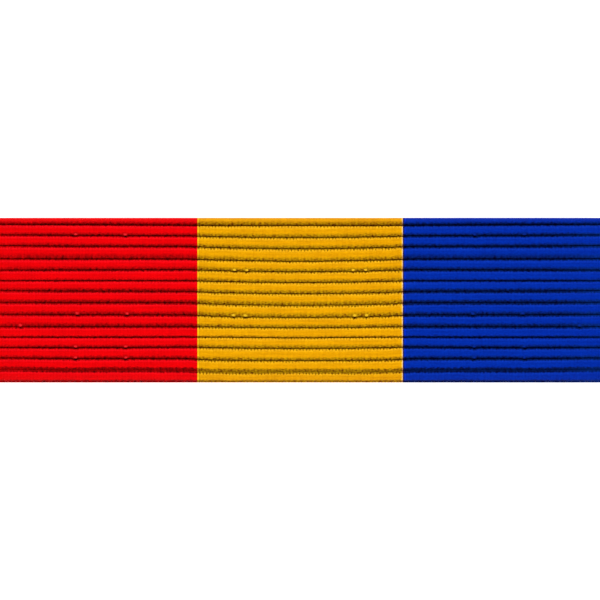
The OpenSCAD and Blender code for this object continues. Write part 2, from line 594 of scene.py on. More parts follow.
    def furrow_shade_colour(self, slub_shadow: Wire) -> Wire:
        """Gives the painted shade of the furrows, with a lighter ridge along the middle of a wide one.

        Args:
            slub_shadow: How far a place belongs to the painted shadow just below a slub.

        Returns:
            The colour.
        """
        cloth = self.cloth
        middle = 1 - abs(self.along).ease(*cloth.middle_zone)
        off_line = self.math("MINIMUM", self.rib_share, 1 - self.rib_share) * cloth.rib_pitch
        ridge = self.wide * (1 - off_line.ease(*cloth.ridge))
        ragged = self.fray * self.by_stripe(cloth.furrow_fray) * (1 - self.wide * cloth.wide_calm)
        thread = (self.roundness - cloth.mean_roundness) * self.by_stripe(cloth.thread)
        thread = thread + self.yarn_tone * cloth.thread_tone
        lighter = self.near_end * self.by_stripe(cloth.end_light) + middle * cloth.middle_light
        lighter = lighter + ridge * cloth.ridge_light - self.wide * cloth.gape_dark
        level = (1 + ragged + thread + lighter) * (1 - slub_shadow * cloth.slub_shadow_dark)
        return self.toned(self.striped("furrow"), level * (1 - self.turn * cloth.side_dark))

    def colour(self) -> Wire:
        """Puts ribs, painted furrow shade, and the slubs' painted highlights and shadows together.

        Returns:
            The cloth's colour.
        """
        cloth = self.cloth
        below = self.below_furrow()
        # painted shadow just below each slub
        slub_shadow = (self.slub * -cloth.slub_shadow_spread).ease(*cloth.spot_edge)
        shaded = self.mix(self.openness(below) * (1 - slub_shadow), self.furrow_shade_colour(slub_shadow), self.lit(below))
        # painted highlight on the slubs, with a little white in the outer stripes
        paler_highlight = self.mix(self.by_stripe(cloth.lump_highlight_white), self.crest, WHITE)
        # bright is the painted highlight colour of a slub
        bright = self.mix(self.in_gold, paler_highlight, Yarn.PALE.value.crest)
        lump_highlight = (self.slub * cloth.lump_highlight_spread).ease(*cloth.spot_edge)
        return self.mix(lump_highlight * self.by_stripe(cloth.lump_highlight), shaded, bright)


class Axis(Enum):
    """A direction that a section is drawn out along, with the places of U, V and the length."""

    X = (1, 2, 0)
    Y = (0, 2, 1)

    def ring(self, u: np.ndarray, v: np.ndarray, length: float) -> np.ndarray:
        """Lays a flat ring of points across the axis.

        Args:
            u: U of each point.
            v: V of each point.
            length: Where the ring stands on the axis.

        Returns:
            The points.
        """
        ring = np.empty((len(u), 3))
        for column, values in zip(self.value, (u, v, length)):
            ring[:, column] = values
        return ring


@dataclass(frozen=True)
class Brass:
    """Finish of a brass piece, brushed along the bar. Lengths are in millimetres.

    For lumps of noise a value is the number on a millimetre, brush_lumps along the bar and across.
    """

    bright: Colour = (0.8, 0.53, 0.2)
    dull: Colour = (0.45, 0.26, 0.085)
    stain: Colour = (0.17, 0.085, 0.035)
    solder: Colour = (0.5, 0.37, 0.2)
    dulled: float = 0.5
    dull_clouds: tuple[float, float] = (0.35, 0.7)
    cloud_lumps: float = 0.45
    stained: float = 0.3
    stain_specks: tuple[float, float] = (0.64, 0.8)
    speck_lumps: float = 2.6
    joint_edge: tuple[float, float] = (0.35, 0.6)
    solder_lumps: float = 4.0
    roughness: float = 0.28
    brush_lumps: tuple[float, float] = (0.25, 9.0)
    grain_depth: float = 0.0012

    def material(self, name: str) -> bpy.types.Material:
        """Makes the metal's material.

        Args:
            name: The material's name.

        Returns:
            The material, which reads places in the row's frame and the mesh's solder attribute.
        """
        material = bpy.data.materials.new(name)
        shader = Shader(material)
        metres = shader.node("ShaderNodeTexCoord", None, None, "Object")
        x, y, z = (value * (1 / MM) for value in shader.split(metres))
        spot = shader.place(x, y, z)
        brush_along, brush_across = self.brush_lumps
        brushed = shader.place(x * brush_along, y * brush_across, z * brush_across)
        lines = shader.noise(brushed, 1.0, 4.0, 0.6)
        clouds = shader.noise(spot, self.cloud_lumps, 4.0, 0.6)
        specks = shader.noise(spot, self.speck_lumps, 3.0, 0.7)
        lumps = shader.noise(spot, self.solder_lumps)
        dulling = clouds.ease(*self.dull_clouds) * self.dulled + (lines - 0.5) * 0.1
        stains = specks.ease(*self.stain_specks) * self.stained
        brass = shader.mix(stains, shader.mix(dulling, self.bright, self.dull), self.stain)
        joint = (shader.attribute("solder") + (specks - 0.5) * 0.5).ease(*self.joint_edge)
        relief = shader.mix(joint, lines, lumps * 4)
        rough = self.roughness + (lines - 0.5) * 0.3 + clouds * 0.15 + stains * 0.2
        shader.surface({
            "Base Color": shader.mix(joint, brass, self.solder),
            "Metallic": 1.0,
            "Roughness": rough + joint * 0.15,
            "Normal": shader.bump(relief, self.grain_depth),
        })
        return material


class Corner(NamedTuple):
    """A corner of an outline and how far it is rounded."""

    u: float
    v: float
    r: float = 0.0


def outline(corners: list[Corner], steps: int = 8) -> np.ndarray:
    """Draws a closed outline with rounded corners.

    Args:
        corners: The corners in order.
        steps: How many straight pieces each rounded corner has.

    Returns:
        The outline's points.
    """
    points: list[np.ndarray] = []
    for number, corner in enumerate(corners):
        here = np.array(corner[:2])
        before = np.array(corners[number - 1][:2]) - here
        after = np.array(corners[(number + 1) % len(corners)][:2]) - here
        if corner.r == 0:
            points.append(here)
            continue
        before, after = before / np.linalg.norm(before), after / np.linalg.norm(after)
        half = math.acos(float(np.clip(before @ after, -1, 1))) / 2
        middle = (before + after) / np.linalg.norm(before + after)
        centre = here + middle * corner.r / math.sin(half)
        first = here + before * corner.r / math.tan(half) - centre
        last = here + after * corner.r / math.tan(half) - centre
        sweep = math.pi - 2 * half
        for step in range(steps + 1):
            share = step / steps
            near, far = math.sin((1 - share) * sweep), math.sin(share * sweep)
            points.append(centre + (first * near + last * far) / math.sin(sweep))
    return np.array(points)


def grid_faces(grid: np.ndarray) -> list[tuple[int, ...]]:
    """Fills a grid of point numbers with four-sided faces."""
    corners = (grid[:-1, :-1], grid[1:, :-1], grid[1:, 1:], grid[:-1, 1:])
    return [tuple(face) for face in np.stack(corners, axis=-1).reshape(-1, 4).tolist()]


class Metalwork:
    """Closed shells of metal gathered into one mesh. Lengths are in millimetres."""

    def __init__(self) -> None:
        """Starts with no shells."""
        self.points: list[np.ndarray] = []
        self.faces: list[tuple[int, ...]] = []
        self.solder: list[float] = []

    def loft(self, rings: list[np.ndarray], solder: float = 0.0, closed: bool = False) -> None:
        """Joins rings of points into one shell.

        Args:
            rings: Rings with the same number of points each, in order.
            solder: 1 for a shell of solder and 0 for one of brass.
            closed: True where the last ring joins the first, and False where both are capped.
        """
        start, size = len(self.points), len(rings[0])
        for ring in rings:
            self.points.extend(ring)
            self.solder.extend([solder] * size)
        grid = start + np.arange(len(rings) * size).reshape(len(rings), size)
        if closed:
            grid = np.vstack([grid, grid[:1]])
        else:
            self.faces += [tuple(grid[0].tolist()), tuple(grid[-1, ::-1].tolist())]
        self.faces += grid_faces(np.hstack([grid, grid[:, :1]]))

    def prism(self, shape: np.ndarray, axis: Axis, start: float, end: float) -> None:
        """Draws an outline out along an axis.

        Args:
            shape: The outline's points.
            axis: The direction.
            start: Where it starts on the axis.
            end: Where it ends on the axis.
        """
        self.loft([axis.ring(*shape.T, place) for place in (start, end)])

    def turned(
        self, axis: Axis, centre: Vector, profile: list[tuple[float, float]], steps: int
    ) -> None:
        """Turns a profile round an axis.

        Args:
            axis: The axis.
            centre: A point of the axis, from which the lengths count.
            profile: The length along the axis and the radius of each ring.
            steps: How many points each ring has.
        """
        angle = np.linspace(0, 2 * math.pi, steps, endpoint=False)
        u, v = np.cos(angle), np.sin(angle)
        self.loft([axis.ring(u * radius, v * radius, length) + centre for length, radius in profile])

    def build(self, name: str, finish: Brass, edge_r: float) -> bpy.types.Object:
        """Makes the object, with its edges broken.

        Args:
            name: The object's name.
            finish: Its finish.
            edge_r: Radius of its broken edges.

        Returns:
            The object.
        """
        piece = add_piece(name, np.array(self.points), self.faces)
        shells = bmesh.new()
        shells.from_mesh(piece.data)
        bmesh.ops.recalc_face_normals(shells, faces=shells.faces)
        shells.to_mesh(piece.data)
        shells.free()
        layer = piece.data.attributes.new("solder", "FLOAT", "POINT")
        layer.data.foreach_set("value", self.solder)
        bevel = piece.modifiers.new("broken_edges", "BEVEL")
        bevel.width = edge_r * MM
        bevel.segments = 3
        bevel.limit_method = "ANGLE"
        bevel.angle_limit = math.radians(METAL_SHARP_DEG)
        bevel.harden_normals = True
        smooth(piece, METAL_SHARP_DEG)
        piece.data.materials.append(finish.material(name))
        return piece


def add_piece(name: str, points: np.ndarray, faces: list[tuple[int, ...]]) -> bpy.types.Object:
    """Makes an object from points and faces.

    Args:
        name: The object's name.
        points: Its points in millimetres, one row each.
        faces: Its faces, as numbers of points.

    Returns:
        The object, linked to the scene.
    """
    mesh = bpy.data.meshes.new(name)
    mesh.from_pydata((points * MM).tolist(), [], faces)
    mesh.validate()
    piece = bpy.data.objects.new(name, mesh)
    bpy.context.scene.collection.objects.link(piece)
    return piece


def smooth(piece: bpy.types.Object, sharp_deg: float) -> None:
    """Shades a piece smooth, apart from edges sharper than the angle."""
    piece.data.polygons.foreach_set("use_smooth", [True] * len(piece.data.polygons))
    piece.data.set_sharp_from_angle(angle=math.radians(sharp_deg))


@dataclass(frozen=True)
class FoldedLine:
    """Half of a line that runs over the face, round a fold, down the side and in over the back.

    Lengths are in millimetres. The line starts at the middle of the face.
    """

    face: float
    fold_r: float
    side: float
    back: float
    front_z: float

    def knots(self) -> np.ndarray:
        """Gives the distances along the line at which its stretches end."""
        fold = self.fold_r * math.pi / 2
        return np.cumsum([0, self.face, fold, self.side, fold, self.back])

    def turned(self, run: np.ndarray) -> np.ndarray:
        """Gives the angle that the line has turned through since the face.

        Args:
            run: Distance from the middle of the face.

        Returns:
            The angle in radians, from 0 on the face to a half turn on the back.
        """
        away = np.abs(run)
        _, fold_1, side, fold_2, back, _ = self.knots()
        bent = np.clip(away - fold_1, 0, side - fold_1) + np.clip(away - fold_2, 0, back - fold_2)
        return bent / self.fold_r

    def point(
        self, run: np.ndarray, height: Union[np.ndarray, float]
    ) -> tuple[np.ndarray, np.ndarray]:
        """Finds points by their distance along the line.

        Args:
            run: Distance from the middle of the face, positive towards +Y.
            height: Height above the line, outwards.

        Returns:
            Y and Z of each point.
        """
        away = np.abs(run)
        _, _, side, _, back, _ = self.knots()
        turned = self.turned(run)
        centre_y = np.minimum(away, self.face) - np.clip(away - back, 0, None)
        centre_z = self.front_z - self.fold_r - np.clip(away - side, 0, self.side)
        y = centre_y + (self.fold_r + height) * np.sin(turned)
        z = centre_z + (self.fold_r + height) * np.cos(turned)
        return np.sign(run) * y, z


class CrestPoint(NamedTuple):
    """One point of a rib's section, from its upper furrow to its lower one."""

    share: float
    height: float


class Shade(NamedTuple):
    """How wide a furrow gapes and how far its shade reaches, as shares of the usual."""

    breadth: float = 1.0
    fade: float = 1.0


class Furrow(NamedTuple):
    """One furrow of the face and the rib above it.

    rib is the rib's width in the outer stripes as a share of the pitch, outer and gold are the
    furrow's shades there and in the gold stripe, and path is how far it hangs below its line at
    PATH_PLACES.
    """

    rib: float
    outer: Shade
    gold: Shade
    path: tuple[float, ...]


class Waves(NamedTuple):
    """Sine waves of random phase along the bar, by their lengths and the size they reach together."""

    lengths: tuple[float, ...]
    size: float


CREST = (
    CrestPoint(0.0, 0.0),
    CrestPoint(0.04, 0.5),
    CrestPoint(0.09, 0.8),
    CrestPoint(0.15, 0.96),
    CrestPoint(0.22, 1.0),
    CrestPoint(0.41, 1.0),
    CrestPoint(0.6, 1.0),
    CrestPoint(0.7, 0.98),
    CrestPoint(0.78, 0.92),
    CrestPoint(0.86, 0.77),
    CrestPoint(0.92, 0.56),
    CrestPoint(0.965, 0.3),
    CrestPoint(1.0, 0.0),
)

# Distances from the middle of the bar, in millimetres
PATH_PLACES = (0.7, 2.9, 5.1, 6.5, 9.4, 13.8, 16.7)

FURROWS = (
    Furrow(1.0, Shade(1.0, 0.82), Shade(0.93, 1.05), (0.04, 0.05, 0.05, 0.03, 0.014, -0.004, -0.012)),
    Furrow(0.919, Shade(1.06), Shade(1.0, 1.07), (0.12, 0.114, 0.074, 0.026, 0.018, -0.007, -0.02)),
    Furrow(0.958, Shade(1.03), Shade(1.03, 1.03), (0.154, 0.122, 0.078, 0.014, 0.008, 0.002, -0.027)),
    Furrow(1.148, Shade(0.9, 1.65), Shade(0.95, 1.12), (0.144, 0.104, 0.063, 0.01, 0.0, 0.004, -0.008)),
    Furrow(0.989, Shade(1.03, 1.2), Shade(1.1, 1.1), (0.101, 0.066, 0.025, -0.022, -0.009, 0.001, 0.007)),
    Furrow(0.959, Shade(0.8, 0.95), Shade(0.97, 1.08), (0.099, 0.078, 0.029, 0.0, 0.0, 0.0, 0.0)),
    Furrow(0.911, Shade(1.16, 1.03), Shade(1.03, 1.08), (0.151, 0.125, 0.087, 0.016, 0.007, 0.001, -0.024)),
    Furrow(1.022, Shade(1.18, 0.95), Shade(1.08, 1.15), (0.161, 0.132, 0.085, 0.009, 0.001, 0.003, -0.009)),
    Furrow(1.08, Shade(1.1, 1.02), Shade(1.06, 1.12), (0.162, 0.138, 0.086, 0.021, 0.014, -0.002, -0.014)),
    Furrow(1.068, Shade(1.2, 1.02), Shade(1.06, 1.02), (0.066, 0.045, 0.019, -0.005, -0.005, 0.001, 0.001)),
    Furrow(0.949, Shade(0.86, 0.74), Shade(0.82, 0.78), (0.039, 0.01, 0.0, -0.012, 0.0, -0.002, -0.006)),
    Furrow(0.923, Shade(1.04), Shade(0.97, 1.1), (0.043, 0.037, 0.0, -0.037, -0.008, 0.0, -0.008)),
    Furrow(0.967, Shade(1.08, 0.93), Shade(1.04, 0.82), (0.12, 0.117, 0.097, 0.009, 0.001, 0.005, -0.026)),
    Furrow(1.02, Shade(1.4, 0.77), Shade(1.3, 0.8), (0.1, 0.126, 0.1, 0.017, -0.002, 0.01, -0.041)),
    Furrow(1.07, Shade(1.1), Shade(1.1), (0.0, 0.0, 0.0, 0.0, 0.0, 0.0, 0.0)),
)

PLAIN_FURROW = Furrow(1.0, Shade(), Shade(), (0.06, 0.05, 0.03, 0.0, 0.0, 0.0, 0.0))

# Thick places of single yarns just above a furrow: its number, and how far from the middle of the
# bar they lie on both sides, in millimetres
SLUBS = {
    1: (13.0, 10.13),
    4: (3.8, 3.08),
    8: (12.92, 10.02, 3.86, 3.17),
    9: (16.2,),
    11: (13.0, 10.1),
    12: (13.0, 10.1),
}


@dataclass
class Ribbon:
    """The woven ribbon, folded round the carrier. Lengths are in millimetres."""

    low: Vector
    high: Vector
    rib_rise: float = 0.14
    rib_pitch: float = 0.65
    first_furrow: float = 4.351
    furrow_sink: float = 0.05
    usual_gape: float = 0.075
    inner_share: float = 0.25
    rim_share: float = 0.36
    slub_above: float = 0.16
    slub_push: float = 0.05
    # painted shade reaching further above each slub
    slub_shade: float = 0.4
    slub_height: float = 0.97
    slub_spread: float = 0.16
    slub_columns: float = 1.8
    # Sizes along and across a rib: first of each slub, then of the painted shadow just below it
    lump_half: tuple[float, float] = (0.09, 0.065)
    slub_shadow_half: tuple[float, float] = (0.08, 0.05)
    path_waves: Waves = Waves((2.3, 1.3, 0.7), 0.005)
    rib_waves: Waves = Waves((9.0, 3.7, 1.1), 0.04)
    gape_waves: Waves = Waves((5.0, 1.9, 0.8), 0.02)
    fade_waves: Waves = Waves((7.3, 3.9, 1.7), 0.08)
    wave_peak: float = 1.6
    pull: float = 0.97
    pull_at: float = 1.48
    pull_spread: float = 0.44
    shallow_power: float = -1.2
    cloth: float = 1.0
    fold_r: float = 0.5
    turn_in: float = 2.4
    pocket_r: float = 0.6
    gold_half_w: float = 5.942
    columns: int = 240
    inner_every: int = 20
    selvage_columns: int = 5
    selvage_w: float = 0.08
    selvage_r: float = 0.2
    selvage_pull: float = 0.035
    rim_u: float = 0.3
    inner_u: float = 0.9
    end_margin: float = 0.01
    end_held: float = 0.3
    end_loose: float = 0.6
    seed: int = 7

    def __post_init__(self) -> None:
        """Works out the folded lines and the places of the mesh's columns and rows."""
        self.rng = np.random.default_rng(self.seed)
        self.outside, self.inside = self.lines()
        self.half_run = float(self.outside.knots()[-1])
        self.first_number = math.ceil((self.half_run - self.first_furrow) / self.rib_pitch)
        after = math.ceil(2 * self.half_run / self.rib_pitch)
        self.furrows = [PLAIN_FURROW] * self.first_number + list(FURROWS) + [PLAIN_FURROW] * after
        passed = np.cumsum([0.0] + [furrow.rib for furrow in self.furrows[1:]])
        self.base_runs = self.first_furrow + (self.first_number - passed) * self.rib_pitch
        self.rows = self.rib_rows()
        self.x = self.column_places()
        self.away = np.abs(self.x)
        self.keep = np.arange(0, self.columns + 1, self.inner_every)

    def build(self) -> bpy.types.Object:
        """Makes the ribbon's mesh and dresses it.

        Returns:
            The ribbon as one closed piece.
        """
        run = self.between(self.furrow_paths())
        height = self.rib_heights(run)
        drop, side_shift = self.selvage()
        outer = np.stack([side_shift, *self.outside.point(run, height - drop)], axis=2)
        inner_run = np.sign(run) * np.interp(np.abs(run), self.outside.knots(), self.inside.knots())
        inner = self.on_line(self.inside, inner_run, self.keep)
        edge = self.on_line(self.outside, run, [0, -1])
        rim = edge + (inner[:, [0, -1]] - edge) * self.rim_share
        points = np.concatenate([part.reshape(-1, 3) for part in (outer, inner, rim)])
        piece = add_piece("ribbon_cloth", points, self.faces())
        smooth(piece, CLOTH_SHARP_DEG)
        self.weave_map(piece)
        gape, fade = self.furrow_shades()
        lumps = self.slub_spots(self.slub_above, self.lump_half)
        # gape and fade set the width and the reach of the painted furrow shade
        self.mark(piece, "gape", gape, self.inner_share)
        self.mark(piece, "fade", fade, self.inner_share)
        # slub: positive where a slub's painted highlight goes, negative where its painted shadow goes
        self.mark(piece, "slub", lumps - self.slub_spots(0.0, self.slub_shadow_half), 1.0)
        # turn is read for the painted shade round the folds and down the sides
        self.mark(piece, "turn", np.sin(self.outside.turned(run)), 0.0)
        finish = RibbonCloth(self.gold_half_w, self.rib_pitch, self.usual_gape)
        piece.data.materials.append(finish.material("ribbon_cloth"))
        return piece

    def mark(self, piece: bpy.types.Object, name: str, values: np.ndarray, inner_share: float) -> None:
        """Writes a number to each point, for the material to read.

        Args:
            piece: The ribbon.
            name: The number's name.
            values: The number at each row and column of the outside.
            inner_share: The share of it that the inside and the rim have.
        """
        inner = values[:, self.keep] * inner_share
        layer = piece.data.attributes.new(name, "FLOAT", "POINT")
        parts = (values, inner, inner[:, [0, -1]])
        layer.data.foreach_set("value", np.concatenate([part.reshape(-1) for part in parts]))

    def on_line(
        self, line: FoldedLine, run: np.ndarray, columns: Union[np.ndarray, list[int]]
    ) -> np.ndarray:
        """Lays some columns' points flat on a folded line."""
        y, z = line.point(run[:, columns], 0.0)
        return np.stack([np.broadcast_to(self.x[columns], y.shape), y, z], axis=2)

    def lines(self) -> tuple[FoldedLine, FoldedLine]:
        """Works out the folded lines of the cloth.

        Returns:
            The furrow line of the outside, and the line of the inside.
        """
        height = self.high.y - self.low.y - 2 * self.rib_rise
        front_z = self.high.z - self.rib_rise
        depth = front_z - (self.low.z + self.rib_rise)
        flap_end = self.high.y - self.turn_in
        face = height / 2 - self.fold_r
        outside = FoldedLine(face, self.fold_r, depth - 2 * self.fold_r, face - flap_end, front_z)
        face = height / 2 - self.cloth - self.pocket_r
        side = depth - 2 * self.cloth - 2 * self.pocket_r
        return outside, FoldedLine(face, self.pocket_r, side, face - flap_end, front_z - self.cloth)

    def column_places(self) -> np.ndarray:
        """Spreads the mesh's columns along the bar, closer at the selvages and the slubs.

        Returns:
            X of each column.
        """
        half = (self.high.x - self.low.x) / 2
        count = self.selvage_columns
        edge = self.selvage_w * (1 - np.cos(np.linspace(0, math.pi / 2, count + 1)))
        places = np.linspace(-half + self.selvage_w, half - self.selvage_w, 7001)
        near = [self.near_slub(index, places) for index in SLUBS]
        passed = np.cumsum(1 + self.slub_columns * np.max(near, axis=0))
        wanted = np.linspace(passed[0], passed[-1], self.columns + 1 - 2 * count)
        middle = np.interp(wanted, passed, places)
        return np.concatenate([-half + edge[:-1], middle, half - edge[-2::-1]])

    def rib_rows(self) -> np.ndarray:
        """Lists the mesh's rows, from one cut end of the cloth to the other.

        Returns:
            Rib number and share of each row.
        """
        numbers = np.arange(len(self.base_runs))
        rows = np.add.outer(numbers[:-1], [point.share for point in CREST[:-1]]).reshape(-1)
        runs = np.interp(rows, numbers, self.base_runs)
        rows = rows[np.abs(runs) < self.half_run - self.end_margin]
        ends = [-self.half_run, self.half_run]
        last, first = np.interp(ends, self.base_runs[::-1], numbers[::-1])
        return np.concatenate([[first], rows, [last]])

    def ripples(self, count: int, waves: Waves) -> np.ndarray:
        """Adds waves of random phase, the same way on both sides of the middle.

        Args:
            count: How many sums are wanted.
            waves: The waves of each sum.

        Returns:
            Each sum, at each column.
        """
        lengths = np.array(waves.lengths)
        phases = self.rng.uniform(0, 2 * math.pi, (count, len(lengths)))
        turns = 2 * math.pi * self.away / lengths[:, None]
        return waves.size * np.sin(turns + phases[:, :, None]).mean(axis=1) * self.wave_peak

    def furrow_paths(self) -> np.ndarray:
        """Lays the furrows along their paths, straight near the cut ends of the cloth.

        Returns:
            Place of each furrow on the furrow line, in each column.
        """
        loose = (self.half_run - np.abs(self.base_runs) - self.end_held) / self.end_loose
        hang = np.stack([
            np.interp(self.away, PATH_PLACES, furrow.path)
            + self.slub_push * self.near_slub(number - self.first_number, self.x)
            for number, furrow in enumerate(self.furrows)
        ])
        moved = self.ripples(len(self.furrows), self.path_waves) - hang
        return self.base_runs[:, None] + np.clip(loose, 0, 1)[:, None] * moved

    def between(self, by_furrow: np.ndarray) -> np.ndarray:
        """Reads values given by furrow at the rows between them.

        Args:
            by_furrow: The value at each furrow, in each column.

        Returns:
            The value at each row, in each column.
        """
        number = np.minimum(self.rows.astype(int), len(by_furrow) - 2)
        share = (self.rows - number)[:, None]
        return by_furrow[number] * (1 - share) + by_furrow[number + 1] * share

    def rib_heights(self, run: np.ndarray) -> np.ndarray:
        """Works out how high the cloth stands above the furrow line.

        The ribs flatten where the cloth is pulled round a fold, and a wide furrow is shallower.

        Args:
            run: Place of each row on the furrow line, in each column.

        Returns:
            Height of each row in each column.
        """
        section = np.interp(self.rows % 1, [p.share for p in CREST], [p.height for p in CREST])
        fullness = 1 - np.abs(self.ripples(int(self.rows[-1]) + 1, self.rib_waves))
        full = fullness[self.rows.astype(int)] * section[:, None]
        lumps = self.slub_spots(self.slub_above, self.lump_half)
        full = np.maximum(full, lumps * self.slub_height)
        past_face = np.clip((np.abs(run) - self.outside.face) / self.fold_r, 0, 4)
        relief = 1 - self.pull * np.exp(-(((past_face - self.pull_at) / self.pull_spread) ** 2))
        nearest = np.clip(np.rint(self.rows).astype(int) - self.first_number, 0, len(FURROWS) - 1)
        depths = np.array([min(1.0, furrow.outer.breadth**self.shallow_power) for furrow in FURROWS])
        shallow = depths[nearest, None]
        return self.rib_rise - (self.rib_rise + self.furrow_sink) * (1 - full) * relief * shallow

    def near_slub(self, index: int, x: np.ndarray) -> np.ndarray:
        """Gives how near each place is to a slub of one furrow, from 0 to 1."""
        off = [(np.abs(x) - distance) / self.slub_spread for distance in SLUBS.get(index, (math.inf,))]
        return np.max(np.exp(-np.square(off)), axis=0)

    def slub_spots(self, above: float, half: tuple[float, float]) -> np.ndarray:
        """Draws a round spot at each slub.

        Args:
            above: How far above the furrow its middle lies, as a share of the rib.
            half: How far the spot reaches along the rib and across it.

        Returns:
            How far each row and column belongs to a spot, from 0 to 1.
        """
        spots = np.zeros((len(self.rows), len(self.x)))
        for furrow, distances in SLUBS.items():
            across = (self.rows - (furrow + self.first_number - above)) * self.rib_pitch / half[1]
            for distance in distances:
                beside = (self.away - distance) / half[0]
                spots = np.maximum(spots, np.exp(-np.add.outer(across**2, beside**2)))
        return spots

    def furrow_shades(self) -> tuple[np.ndarray, np.ndarray]:
        """Works out how wide the nearest furrow gapes and how far its shade reaches.

        Returns:
            Half of the furrow's width and the share of its fade, at each row and column.
        """
        shades = np.array([(furrow.outer, furrow.gold) for furrow in self.furrows])
        stripe = (self.away < self.gold_half_w).astype(int)
        count = len(self.furrows)
        uneven = 1 + self.ripples(count, self.gape_waves)
        swing = self.ripples(count, self.fade_waves)
        near = [self.near_slub(number - self.first_number, self.x) for number in range(count)]
        nearest = np.clip(np.rint(self.rows).astype(int), 0, count - 1)
        breadth, reach = np.moveaxis(shades[nearest][:, stripe], 2, 0)
        shaded = 1 + self.slub_shade * np.stack(near)
        gape = self.usual_gape * breadth * uneven[nearest]
        return gape, reach * ((2 - uneven + swing) * shaded)[nearest]

    def selvage(self) -> tuple[np.ndarray, np.ndarray]:
        """Rounds the cloth off at its two woven edges.

        Returns:
            How far the outside drops in each column, and X of each row in each column.
        """
        inwards = np.clip(1 - (self.high.x - self.away) / self.selvage_w, 0, 1)
        drop = self.selvage_r * (1 - np.sqrt(1 - inwards**2))
        furrow = np.abs(self.rows % 1 - 0.5) * 2
        pulled = self.selvage_pull * np.outer(furrow**4, inwards)
        return drop, self.x - np.sign(self.x) * pulled

    def faces(self) -> list[tuple[int, ...]]:
        """Joins the grids of the outside and the inside into one closed surface.

        Returns:
            The faces, as numbers of points.
        """
        count, keep = len(self.rows), self.keep
        outer = np.arange(count * len(self.x)).reshape(count, -1)
        inner = outer.size + np.arange(count * len(keep)).reshape(count, -1)
        rim = outer.size + inner.size + np.arange(count * 2).reshape(count, 2)
        faces = grid_faces(outer) + grid_faces(inner[:, ::-1])
        for column, turn in ((0, 1), (-1, -1)):
            for high, low in ((outer, rim), (rim, inner)):
                strip = zip(high[:-1, column], low[:-1, column], low[1:, column], high[1:, column])
                faces += [tuple(int(n) for n in corners[::turn]) for corners in strip]
        for row, turn in ((0, 1), (-1, -1)):
            for step, (first, last) in enumerate(zip(keep[:-1], keep[1:])):
                ring = outer[row, first : last + 1].tolist()
                if step == len(keep) - 2:
                    ring.append(int(rim[row, 1]))
                ring += inner[row, [step + 1, step]].tolist()
                if step == 0:
                    ring.append(int(rim[row, 0]))
                faces.append(tuple(ring[::turn]))
        return faces

    def weave_map(self, piece: bpy.types.Object) -> None:
        """Writes the map that the cloth's material reads.

        U is the place along the bar in millimetres and V the rib number. At the two ends of the
        bar U runs on over the edge of the cloth, and its cut ends show the middle of a rib.

        Args:
            piece: The ribbon.
        """
        outer = np.stack(np.broadcast_arrays(self.x[None, :], self.rows[:, None]), axis=2)
        inner = outer[:, self.keep]
        inner[:, 0, 0] -= self.inner_u
        inner[:, -1, 0] += self.inner_u
        rim = outer[:, [0, -1]] + np.array([[-self.rim_u, 0.0], [self.rim_u, 0.0]])
        by_point = np.concatenate([part.reshape(-1, 2) for part in (outer, inner, rim)])
        corner_points = np.empty(len(piece.data.loops), int)
        piece.data.loops.foreach_get("vertex_index", corner_points)
        by_corner = by_point[corner_points]
        cut = piece.data.polygons[-2 * (len(self.keep) - 1)].loop_start
        by_corner[cut:, 1] = np.floor(by_corner[cut:, 1]) + 0.5
        layer = piece.data.uv_layers.new(name="weave")
        layer.data.foreach_set("uv", by_corner.reshape(-1))


@dataclass
class Carrier:
    """The sheet brass channel inside the ribbon. Lengths are in millimetres."""

    low: Vector
    high: Vector
    sheet: float = 0.35
    bend_r: float = 0.2
    lip_w: float = 1.6
    edge_r: float = 0.04

    def build(self) -> bpy.types.Object:
        """Bends the channel out of one sheet, with four-sided faces over its ends.

        Returns:
            The carrier.
        """
        lip_end = self.high.y - self.lip_w
        outer = self.open_section(0.0, self.bend_r + self.sheet, lip_end)
        inner = self.open_section(self.sheet, self.bend_r, lip_end)
        channel = Metalwork()
        section = np.concatenate([outer, inner[::-1]])
        channel.prism(section, Axis.X, self.low.x, self.high.x)
        count, start = len(outer), len(section)
        for ring in (0, start):
            channel.faces.remove(self.cap(channel.faces, ring, len(section)))
            for step in range(count - 1):
                far = 2 * count - 1 - step
                channel.faces.append((ring + step, ring + step + 1, ring + far - 1, ring + far))
        finish = Brass(dulled=0.7, roughness=0.32)
        return channel.build("carrier_sheet", finish, self.edge_r)

    @staticmethod
    def cap(faces: list[tuple[int, ...]], first: int, size: int) -> tuple[int, ...]:
        """Finds the face that closes a ring."""
        return next(face for face in faces if len(face) == size and min(face) == first)

    def open_section(self, depth: float, radius: float, lip_end: float) -> np.ndarray:
        """Follows one side of the sheet from lip to lip.

        Args:
            depth: How far inside the sheet's outside it runs.
            radius: Radius of the four bends.
            lip_end: Y of the edge of the upper lip.

        Returns:
            Y and Z of the points.
        """
        side, back, front = self.high.y - depth, self.low.z + depth, self.high.z - depth
        bends = [Corner(side, back, radius), Corner(side, front, radius)]
        bends += [Corner(-corner.u, corner.v, radius) for corner in bends[::-1]]
        start, end = Corner(lip_end, back), Corner(-lip_end, back)
        return outline([start, *bends, end])


